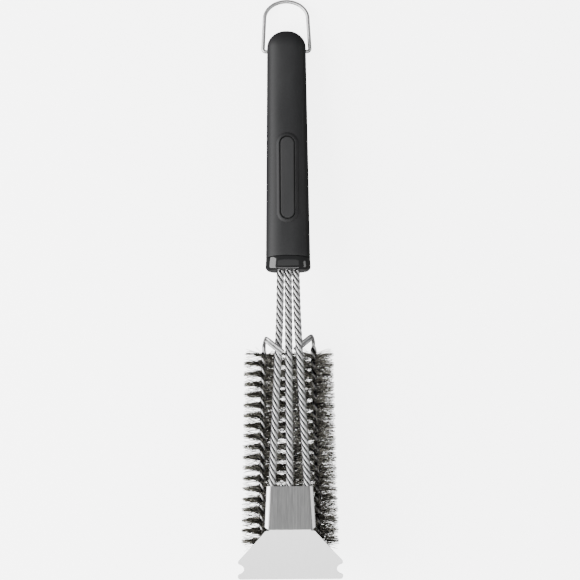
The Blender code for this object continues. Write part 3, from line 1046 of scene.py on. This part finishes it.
@dataclass
class Wires:
    """Four wires laid as a stem: two turn back under the blade as the twisted core of a brush."""

    side: Side
    core_turns: float
    tail_side: int
    wire: float = 0.00125
    stem_lay: float = 0.00179
    core_lay: float = 0.00124
    stem_back: float = 0.2983
    twist_back: float = 0.2433
    stem_spacing: float = 0.0059
    stem_fan: float = 0.0210
    bend_y: float = 0.2040
    bend_fan: float = 0.0325
    bend_ease: float = 0.0120
    stem_turns: int = 10
    short_end: float = 0.0410
    hairpin_y: float = 0.0370
    hairpin_reach: float = 0.0100
    hairpin_steps: int = 30
    drop: float = 0.0240
    core_back: float = 0.1850
    core_front_x: float = 0.0222
    core_back_x: float = 0.0193
    tail_back: float = 0.1900
    tail_front: float = 0.1793
    tail_start_x: float = 0.0178
    tail_end_x: float = 0.0048
    tail_height: float = 0.0046
    fillet: float = 0.0040
    per_turn: int = 24
    short: float = 0.0

    @property
    def core_end(self) -> float:
        """Where the core ends, which is sooner on the short one."""
        return self.core_back - self.short

    def stem_x(self, y: float) -> float:
        """The stem's distance from the middle, which spreads and then bends outwards.

        Args:
            y: The place along it.

        Returns:
            The distance, negative on the left.
        """
        past = self.bend_y - y
        bent = 0.5 * self.bend_fan * (past + math.hypot(past, self.bend_ease))
        straight = self.stem_spacing + self.stem_fan * max(0.0, self.twist_back - y)
        return self.side.value * (straight + bent)

    def core_x(self, y: Number) -> Number:
        """The brush core's distance from the middle."""
        share = (y - self.hairpin_y) / (self.core_back - self.hairpin_y)
        return self.side.value * mix(self.core_front_x, self.core_back_x, share)

    def stem(self, front: float) -> list[Station]:
        """The stem's stations, from its end in the grip to its front.

        Args:
            front: Where the stem's wires end.

        Returns:
            The stations.
        """
        end = Vector((self.stem_x(self.stem_back), self.stem_back, 0.0))
        stations = [Station(end, 0.0, self.stem_lay)]
        pitch = (self.twist_back - self.hairpin_y) / self.stem_turns
        steps = round((self.twist_back - front) / pitch * self.per_turn)
        for i in range(steps + 1):
            y = mix(self.twist_back, front, i / steps)
            turn = 2.0 * math.pi * (self.twist_back - y) / pitch
            stations.append(Station(Vector((self.stem_x(y), y, 0.0)), turn, self.stem_lay))
        return stations

    def hairpin(self, turn: float) -> list[Station]:
        """The turn back under the blade.

        Args:
            turn: The twist that the stem ends with.

        Returns:
            The stations.
        """
        stations = []
        for i in range(1, self.hairpin_steps):
            angle = math.pi * i / self.hairpin_steps
            share = min(1.0, 2.0 * i / self.hairpin_steps)
            x = mix(self.stem_x(self.hairpin_y), self.core_x(self.hairpin_y), ease(share))
            y = self.hairpin_y - self.hairpin_reach * math.sin(angle)
            z = -0.5 * self.drop * (1.0 - math.cos(angle))
            lay = mix(self.stem_lay, self.core_lay, share)
            # no painted shade in the grooves of the turn back
            stations.append(Station(Vector((x, y, z)), turn, lay, 0.0))
        return stations

    def core(self, turn: float) -> list[Station]:
        """The brush core's stations, from its front to the back of the bristles.

        Args:
            turn: The twist that the turn back ends with.

        Returns:
            The stations.
        """
        stations = []
        steps = round(self.core_turns * self.per_turn)
        for i in range(steps + 1):
            y = mix(self.hairpin_y, self.core_end, i / steps)
            twist = turn + 2.0 * math.pi * self.core_turns * i / steps
            stations.append(Station(Vector((self.core_x(y), y, -self.drop)), twist, self.core_lay))
        return stations

    def rounded(self, before: Vector, corner: Vector, after: Vector) -> list[Vector]:
        """The points of a rounded corner.

        Args:
            before: A point that the corner is reached from.
            corner: The corner.
            after: A point that it leads to.

        Returns:
            The points.
        """
        first = corner + (before - corner).normalized() * self.fillet
        last = corner + (after - corner).normalized() * self.fillet
        points = []
        for i in range(11):
            share = i / 10
            points.append(first.lerp(corner, share).lerp(corner.lerp(last, share), share))
        return points

    def tail(self, turn: float) -> list[Station]:
        """The core's end: up behind the bristles, then in and forward to the stem.

        Args:
            turn: The twist that the core ends with.

        Returns:
            The stations.
        """
        height = self.tail_side * self.tail_height
        x = self.core_x(self.core_end)
        back = self.tail_back - self.short
        start = Vector((x, self.core_end, -self.drop))
        low = Vector((x, back, -self.drop))
        high = Vector((self.side.value * self.tail_start_x, back, height))
        end = Vector((self.side.value * self.tail_end_x, self.tail_front - self.short, height))
        points = self.rounded(start, low, high) + self.rounded(low, high, end) + [end]
        # no painted shade in the grooves of the tail
        return [Station(point, turn, self.core_lay, 0.0) for point in points]

    def lay(self, stations: Sequence[Station], phase: float) -> list[Vector]:
        """One wire's centre line, laid left-handed round the stations.

        Args:
            stations: The line it is laid round.
            phase: Where it starts, as an angle.

        Returns:
            The wire's points.
        """
        centres = [station.centre for station in stations]
        ahead = centres[1:] + centres[-1:]
        behind = centres[:1] + centres[:-1]
        ways = [(b - a).normalized() for a, b in zip(behind, ahead)]
        normal = Vector((1.0, 0.0, 0.0))
        path = []
        for i, station in enumerate(stations):
            if i:
                normal = ways[i - 1].rotation_difference(ways[i]) @ normal
            outward = Quaternion(ways[i], -station.turn - phase) @ normal
            path.append(station.centre + outward * station.lay)
        return path

    def mark_grooves(self, wire: bpy.types.Object, path: Sequence[Vector], line: Sequence[Station]) -> None:
        """Note how far out each point of a wire lies, so that its material can paint shade into the grooves.

        Args:
            wire: The wire's mesh.
            path: The wire's centre line.
            line: The stations that it is laid round, one for each point.
        """
        tree = KDTree(len(path))
        for i, point in enumerate(path):
            tree.insert(point, i)
        tree.balance()
        proud = []
        for vertex in wire.data.vertices:
            point, i, _ = tree.find(vertex.co)
            outward = (point - line[i].centre).normalized()
            sunk = 0.5 - 0.5 * outward.dot((vertex.co - point).normalized())
            # proud is 1 on bare metal and falls where painted shade darkens the groove side
            proud.append(1.0 - sunk * line[i].painted_groove_shade)
        layer = wire.data.attributes.new("proud", "FLOAT", "POINT")
        layer.data.foreach_set("value", proud)

    def build(self, dress: bpy.types.Material) -> None:
        """Make the stem's four wires.

        Args:
            dress: The wires' material.
        """
        stem = self.stem(self.hairpin_y)
        turn = stem[-1].turn
        long_line = stem + self.hairpin(turn) + self.core(turn)
        long_line += self.tail(long_line[-1].turn)
        short_line = self.stem(self.short_end)
        quarters = (("a", long_line, 0), ("b", long_line, 2), ("c", short_line, 1), ("d", short_line, 3))
        for letter, line, quarter in quarters:
            node = f"wire_{self.side.name.lower()}_{letter}"
            path = self.lay(line, 0.5 * math.pi * quarter)
            wire = wire_piece(f"round_{node}", path, self.wire, 4)
            self.mark_grooves(wire, path, line)
            finish_piece(wire, dress, "tool", [node], TOOL)


# ---------------------------------------------------------------- bristles


@dataclass
class Bristles:
    """The crimped bristles of one brush, gripped between its two core wires."""

    wires: Wires
    seed: int
    length: float = 0.0153
    ragged: float = 0.060
    longest: float = 0.01585
    front: float = 0.0285
    back: float = 0.1795
    bunches: int = 2
    count: int = 3000
    thickness: float = 0.00016
    segments: int = 5
    crimp: float = 0.00016
    crimps: float = 1.6
    fan: float = 0.10
    lean: float = 0.045
    stray_share: float = 0.38
    stray: float = 4.2
    # spread of the random bristle tints, raised from brush to brush towards the right as painted light
    tint_and_painted_light: float = 0.55

    def model(self) -> tuple[np.ndarray, list[tuple[int, ...]]]:
        """One bristle, modelled once: a thin three-sided wire along X.

        Returns:
            Its points, at unit length and unit thickness, and its faces.
        """
        nothing_selected()
        bpy.ops.mesh.primitive_circle_add(vertices=3, radius=1.0, rotation=(0.0, 0.5 * math.pi, 0.0))
        model = bpy.context.object
        bpy.ops.object.transform_apply(location=True, rotation=True, scale=True)
        bpy.ops.object.mode_set(mode="EDIT")
        bpy.ops.mesh.select_mode(type="EDGE")
        bpy.ops.mesh.select_all(action="SELECT")
        bpy.ops.mesh.edge_face_add()
        bpy.ops.mesh.select_all(action="DESELECT")
        bpy.ops.mesh.select_non_manifold()
        for _ in range(self.segments):
            step = (1.0 / self.segments, 0.0, 0.0)
            bpy.ops.mesh.extrude_edges_move(TRANSFORM_OT_translate={"value": step})
        bpy.ops.mesh.edge_face_add()
        bpy.ops.object.mode_set(mode="OBJECT")
        face_outwards(model)
        points = np.array([vertex.co[:] for vertex in model.data.vertices])
        faces = [tuple(polygon.vertices) for polygon in model.data.polygons]
        bpy.data.objects.remove(model)
        return points, faces

    def twist_at(self, y: np.ndarray) -> np.ndarray:
        """The direction in which bristles leave the core.

        Args:
            y: Places along the core.

        Returns:
            The angle at each place.
        """
        wires = self.wires
        share = (y - wires.hairpin_y) / (wires.core_end - wires.hairpin_y)
        return 2.0 * math.pi * wires.core_turns * share + 0.5 * math.pi

    def bunch(self, number: int, unit: np.ndarray) -> np.ndarray:
        """The points of one bunch of bristles, spread over the whole core.

        Args:
            number: The bunch's number, which seeds its spread.
            unit: The points of one bristle.

        Returns:
            The points, by bristle.
        """
        chance = np.random.default_rng(self.seed + number)
        many = self.count
        order = np.arange(many)
        y = self.front + (self.back - self.front) * (order + chance.random(many)) / many
        loose = np.where(chance.random(many) < self.stray_share, self.stray, 1.0)
        angle = self.twist_at(y) + math.pi * (order % 2) + chance.normal(0.0, self.fan, many) * loose
        leaning = chance.normal(0.0, self.lean, many) * loose
        reach = self.length * (1.0 + chance.normal(0.0, self.ragged, many))
        reach = np.minimum(reach, self.longest)
        out = np.stack([np.cos(angle), leaning, np.sin(angle)], 1)
        out /= np.linalg.norm(out, axis=1, keepdims=True)
        side = np.stack([-np.sin(angle), np.zeros(many), np.cos(angle)], 1)
        up = np.cross(side, out)
        root = np.stack([self.wires.core_x(y), y, np.full(many, -self.wires.drop)], 1)
        along = unit[None, :, 0]
        wave = chance.uniform(0.0, 2.0 * math.pi, many)[:, None]
        roll = chance.uniform(0.0, 2.0 * math.pi, many)[:, None]
        crimp = self.crimp * np.sin(2.0 * math.pi * self.crimps * along + wave)
        crimp = crimp * np.minimum(1.0, 4.0 * along)
        lift = unit[None, :, 1] * self.thickness + crimp * np.cos(roll)
        shift = unit[None, :, 2] * self.thickness + crimp * np.sin(roll)
        points = root[:, None, :] + (along * reach[:, None])[:, :, None] * out[:, None, :]
        return points + lift[:, :, None] * up[:, None, :] + shift[:, :, None] * side[:, None, :]

    def build(self, dress: bpy.types.Material) -> None:
        """Copy the bristle along the core, half of the copies each way.

        Args:
            dress: The bristles' material.
        """
        unit, faces = self.model()
        side = self.wires.side.name.lower()
        for number in range(self.bunches):
            points = self.bunch(number, unit)
            starts = range(0, self.count * len(unit), len(unit))
            polygons = [tuple(start + i for i in face) for start in starts for face in faces]
            name = f"crimped_bristles_{side}_{number + 1}"
            piece = mesh_piece(name, points.reshape(-1, 3), polygons)
            chance = np.random.default_rng(self.seed + 100 + number)
            # a random tint for each bristle, its spread raised on the right-hand brushes as painted light
            tint = np.minimum(1.0, np.abs(chance.normal(0.0, self.tint_and_painted_light, self.count)))
            layer = piece.data.attributes.new("tint", "FLOAT", "POINT")
            layer.data.foreach_set("value", np.repeat(tint, len(unit)))
            finish_piece(piece, dress, "tool", [f"bristles_{side}"], TOOL, 180.0)


# ---------------------------------------------------------------- scraper


@dataclass
class Scraper:
    """One steel sheet, folded round the stems as a sleeve and bent down as a notched blade."""

    sheet: float = 0.0010
    back: float = 0.0723
    bend_y: float = 0.0387
    radius: float = 0.0037
    facets: tuple[float, ...] = (90.0, 60.0, 0.0, -60.0, -90.0)
    slant: float = 1.3
    setback: float = 0.0050
    lip: float = 0.0095
    bend_degrees: float = 20.0
    neck: Point = (0.0190, 0.0010)
    kink: Point = (0.0300, 0.0136)
    flare: float = 45.0
    upper: Triple = (0.0386, 0.0258, 0.0019)
    notch: Triple = (0.0395, 0.0313, 0.0036)
    lower: Triple = (0.0385, 0.03715, 0.0022)
    notch_arc: Point = (-110.0, -250.0)
    fold: float = 0.0005
    support: float = 0.0003
    bend_radius: float = 0.0012
    edge_break: float = 0.00016
    side_x: Callable[[float], float] = Wires(Side.RIGHT, 1.0, 1).stem_x
    plate_finish: PlateSteel = PlateSteel("plate_steel")

    def section(self, y: float, front: bool) -> list[Triple]:
        """The sleeve's middle line from lip to lip, its folds slightly rounded.

        Args:
            y: Where the section stands.
            front: Whether it is the front one, whose sides are set back.

        Returns:
            The section's points.
        """
        side = self.side_x(y)
        corners = []
        for before, after in zip(self.facets, self.facets[1:]):
            middle = math.radians(0.5 * (before + after))
            reach = self.radius / math.cos(math.radians(0.5 * (before - after)))
            corners.append(Vector((side + reach * math.cos(middle), reach * math.sin(middle))))
        line = [Vector((side - 0.004, self.radius))] + corners + [Vector((self.lip, -self.radius))]
        half = []
        for before, corner, after in zip(line, line[1:], line[2:]):
            back, on = (before - corner).normalized(), (after - corner).normalized()
            first, last = corner + back * self.fold, corner + on * self.fold
            half.append(first + back * self.support)
            for i in range(9):
                share = i / 8
                half.append(first.lerp(corner, share).lerp(corner.lerp(last, share), share))
            half.append(last + on * self.support)
        half.append(line[-1])
        whole = [(-p.x, p.y) for p in reversed(half)] + [(p.x, p.y) for p in half]
        if not front:
            return [(x, y, z) for x, z in whole]
        return [(x, y + min(self.setback, self.slant * (self.radius - z)), z) for x, z in whole]

    def outline(self) -> list[Point]:
        """Half of the blade's edge.

        Returns:
            Points, each by its distance from the middle and its distance from the bend.
        """
        points = [self.neck, (self.kink[0] - 0.0008, self.kink[1] - 0.0009)]
        points += [(self.kink[0] + 0.0006, self.kink[1] + 0.0007)]
        points += arc(self.upper[:2], self.upper[2], -self.flare, 90.0, 16)
        points += arc(self.notch[:2], self.notch[2], *self.notch_arc, 24)
        points += arc(self.lower[:2], self.lower[2], -90.0, 90.0, 20)
        return points

    def on_blade(self, x: float, along: float) -> Triple:
        """A point of the sheet past the start of the bend, which has a small radius.

        Args:
            x: Its distance from the middle.
            along: Its distance from the start of the bend, along the sheet.

        Returns:
            The point in tool space.
        """
        full = math.radians(self.bend_degrees)
        angle = min(full, along / self.bend_radius)
        rest = max(0.0, along - self.bend_radius * full)
        y = self.bend_y - self.bend_radius * math.sin(angle) - rest * math.cos(angle)
        z = self.radius - self.bend_radius * (1.0 - math.cos(angle)) - rest * math.sin(angle)
        return (x, y, z)

    def build(self) -> None:
        """Make the sheet, give it its thickness and break its edges."""
        back, front = self.section(self.back, False), self.section(self.bend_y, True)
        count, half = len(back), len(back) // 2
        points = back + front
        faces = [(i, i + 1, count + i + 1, count + i) for i in range(count - 1)]
        row = [count + half - 2, count + half - 1, count + half, count + half + 1]
        across = [points[i][0] for i in row]
        length = self.bend_radius * math.radians(self.bend_degrees)
        for along in (0.25 * length, 0.5 * length, 0.75 * length, length, length + self.support):
            following = list(range(len(points), len(points) + 4))
            points += [self.on_blade(x, along) for x in across]
            faces += [(row[i], row[i + 1], following[i + 1], following[i]) for i in range(3)]
            row = following
        outline = self.outline()
        right = list(range(len(points), len(points) + len(outline)))
        points += [self.on_blade(x, along) for x, along in outline]
        left = list(range(len(points), len(points) + len(outline)))
        points += [self.on_blade(-x, along) for x, along in outline]
        faces.append(row + right + left[::-1])
        sheet = mesh_piece("notched_scraper", np.array(points), faces)
        face_outwards(sheet)
        solid = sheet.modifiers.new("thickness", "SOLIDIFY")
        solid.thickness = self.sheet
        solid.offset = 0.0
        solid.use_even_offset = True
        edge = sheet.modifiers.new("broken_edges", "BEVEL")
        edge.width = self.edge_break
        edge.segments = 2
        edge.limit_method = "ANGLE"
        edge.angle_limit = math.radians(50.0)
        fix_modifiers(sheet)
        # the sheet's material paints shade on the sleeve's outer top face
        dress = ShadedBrushedSheet("brushed_sheet", self.bend_y, self.radius + 0.5 * self.sheet).dress()
        finish_piece(sheet, dress, "tool", ["scraper_plate"], TOOL, 14.0)
        dress_node("clamp_back_plate", self.plate_finish.dress())


# ---------------------------------------------------------------- studio


@dataclass(frozen=True)
class Softbox:
    """A soft light that faces the tool. Angles are in degrees from straight above."""

    name: str
    lean: float
    towards: float
    distance: float
    size: Point
    glow: float

    def build(self) -> None:
        """Hang the light and aim it."""
        light = bpy.data.lights.new(self.name, "AREA")
        light.shape = "RECTANGLE"
        light.size, light.size_y = self.size
        light.energy = math.pi * self.size[0] * self.size[1] * self.glow
        lamp = bpy.data.objects.new(self.name, light)
        bpy.context.scene.collection.objects.link(lamp)
        lean, towards = math.radians(self.lean), math.radians(self.towards)
        level = math.sin(lean)
        way = Vector((level * math.cos(towards), level * math.sin(towards), math.cos(lean)))
        lamp.location = way * self.distance
        lamp.rotation_euler = way.to_track_quat("Z", "Y").to_euler()


@dataclass
class Studio:
    """A pale floor, soft lights and the camera above the tool."""

    distance: float = 4.00
    elevation: float = 88.4
    roll: float = -0.45
    span: float = 0.4513
    middle: Triple = (0.0013, -0.0022, 0.0306)
    floor_glow: float = 4.8
    air: float = 0.20
    boxes: tuple[Softbox, ...] = (
        Softbox("left_box", 56.0, 180.0, 1.5, (1.9, 1.3), 7.6),
        Softbox("right_box", 60.0, 0.0, 1.5, (1.2, 0.5), 2.6),
        Softbox("front_box", 26.0, -90.0, 1.6, (1.4, 0.55), 4.4),
        Softbox("rear_box", 18.0, 90.0, 1.7, (1.4, 0.60), 0.6),
    )

    def floor(self) -> None:
        """The plain pale floor, which glows softly for the eye and throws no light on the tool."""
        nothing_selected()
        bpy.ops.mesh.primitive_plane_add(size=6.0, location=(0.0, 0.0, -0.0005))
        plane = bpy.context.object
        plane.name = "studio_floor"
        plane.visible_glossy = False
        plane.visible_diffuse = False
        graph = Graph.begin("floor_paper")
        tone = graph.noise((3.0, 3.0, 3.0), 1.0)
        graph.wire_up({
            "Base Color": graph.ramp(tone, ((0.0, grey(0.90)), (1.0, grey(0.92)))),
            "Roughness": 0.9,
            "Emission Color": (1.0, 1.0, 1.0, 1.0),
            "Emission Strength": self.floor_glow,
        })
        plane.data.materials.append(graph.material)

    def surroundings(self) -> None:
        """The even light of the room."""
        world = bpy.data.worlds.new("studio_air")
        world.use_nodes = True
        backing = world.node_tree.nodes["Background"]
        backing.inputs["Color"].default_value = (1.0, 1.0, 1.0, 1.0)
        backing.inputs["Strength"].default_value = self.air
        bpy.context.scene.world = world

    def camera(self) -> None:
        """The long lens, almost straight above the tool."""
        lens = bpy.data.cameras.new("camera")
        lens.sensor_width = 36.0
        lens.lens = 36.0 * self.distance / self.span
        eye = bpy.data.objects.new("camera", lens)
        bpy.context.scene.collection.objects.link(eye)
        pitch = math.radians(90.0 - self.elevation)
        turn = Euler((pitch, 0.0, 0.0)).to_matrix() @ Matrix.Rotation(math.radians(self.roll), 3, "Z")
        eye.rotation_euler = turn.to_euler()
        eye.location = Vector(self.middle) + turn @ Vector((0.0, 0.0, self.distance))
        bpy.context.scene.camera = eye

    def build(self) -> None:
        """Set up the studio."""
        self.floor()
        self.surroundings()
        for box in self.boxes:
            box.build()
        self.camera()


def main() -> None:
    """Build the sub-assemblies in order."""
    logging.basicConfig(level=logging.INFO, format="%(name)s %(message)s")
    Studio().build()
    Handle().build()
    HangLoop().build()
    wire = DrawnWire("drawn_wire").dress()
    bristle = BristleSteel("dark_bristle").dress()
    brushes = (
        # the tint spreads rise from left to right as painted light, the right brush painted brightest
        Bristles(Wires(Side.LEFT, 8.8625, 1, short=0.0029), seed=0, stray_share=0.30, tint_and_painted_light=0.55),
        Bristles(Wires(Side.CENTRE, 9.0, -1), seed=10, stray_share=0.60, tint_and_painted_light=0.75),
        Bristles(Wires(Side.RIGHT, 9.1375, -1), seed=20, stray_share=0.75, tint_and_painted_light=0.95),
    )
    for brush in brushes:
        brush.wires.build(wire)
        brush.build(bristle)
    Scraper().build()


if __name__ == "__main__":
    main()
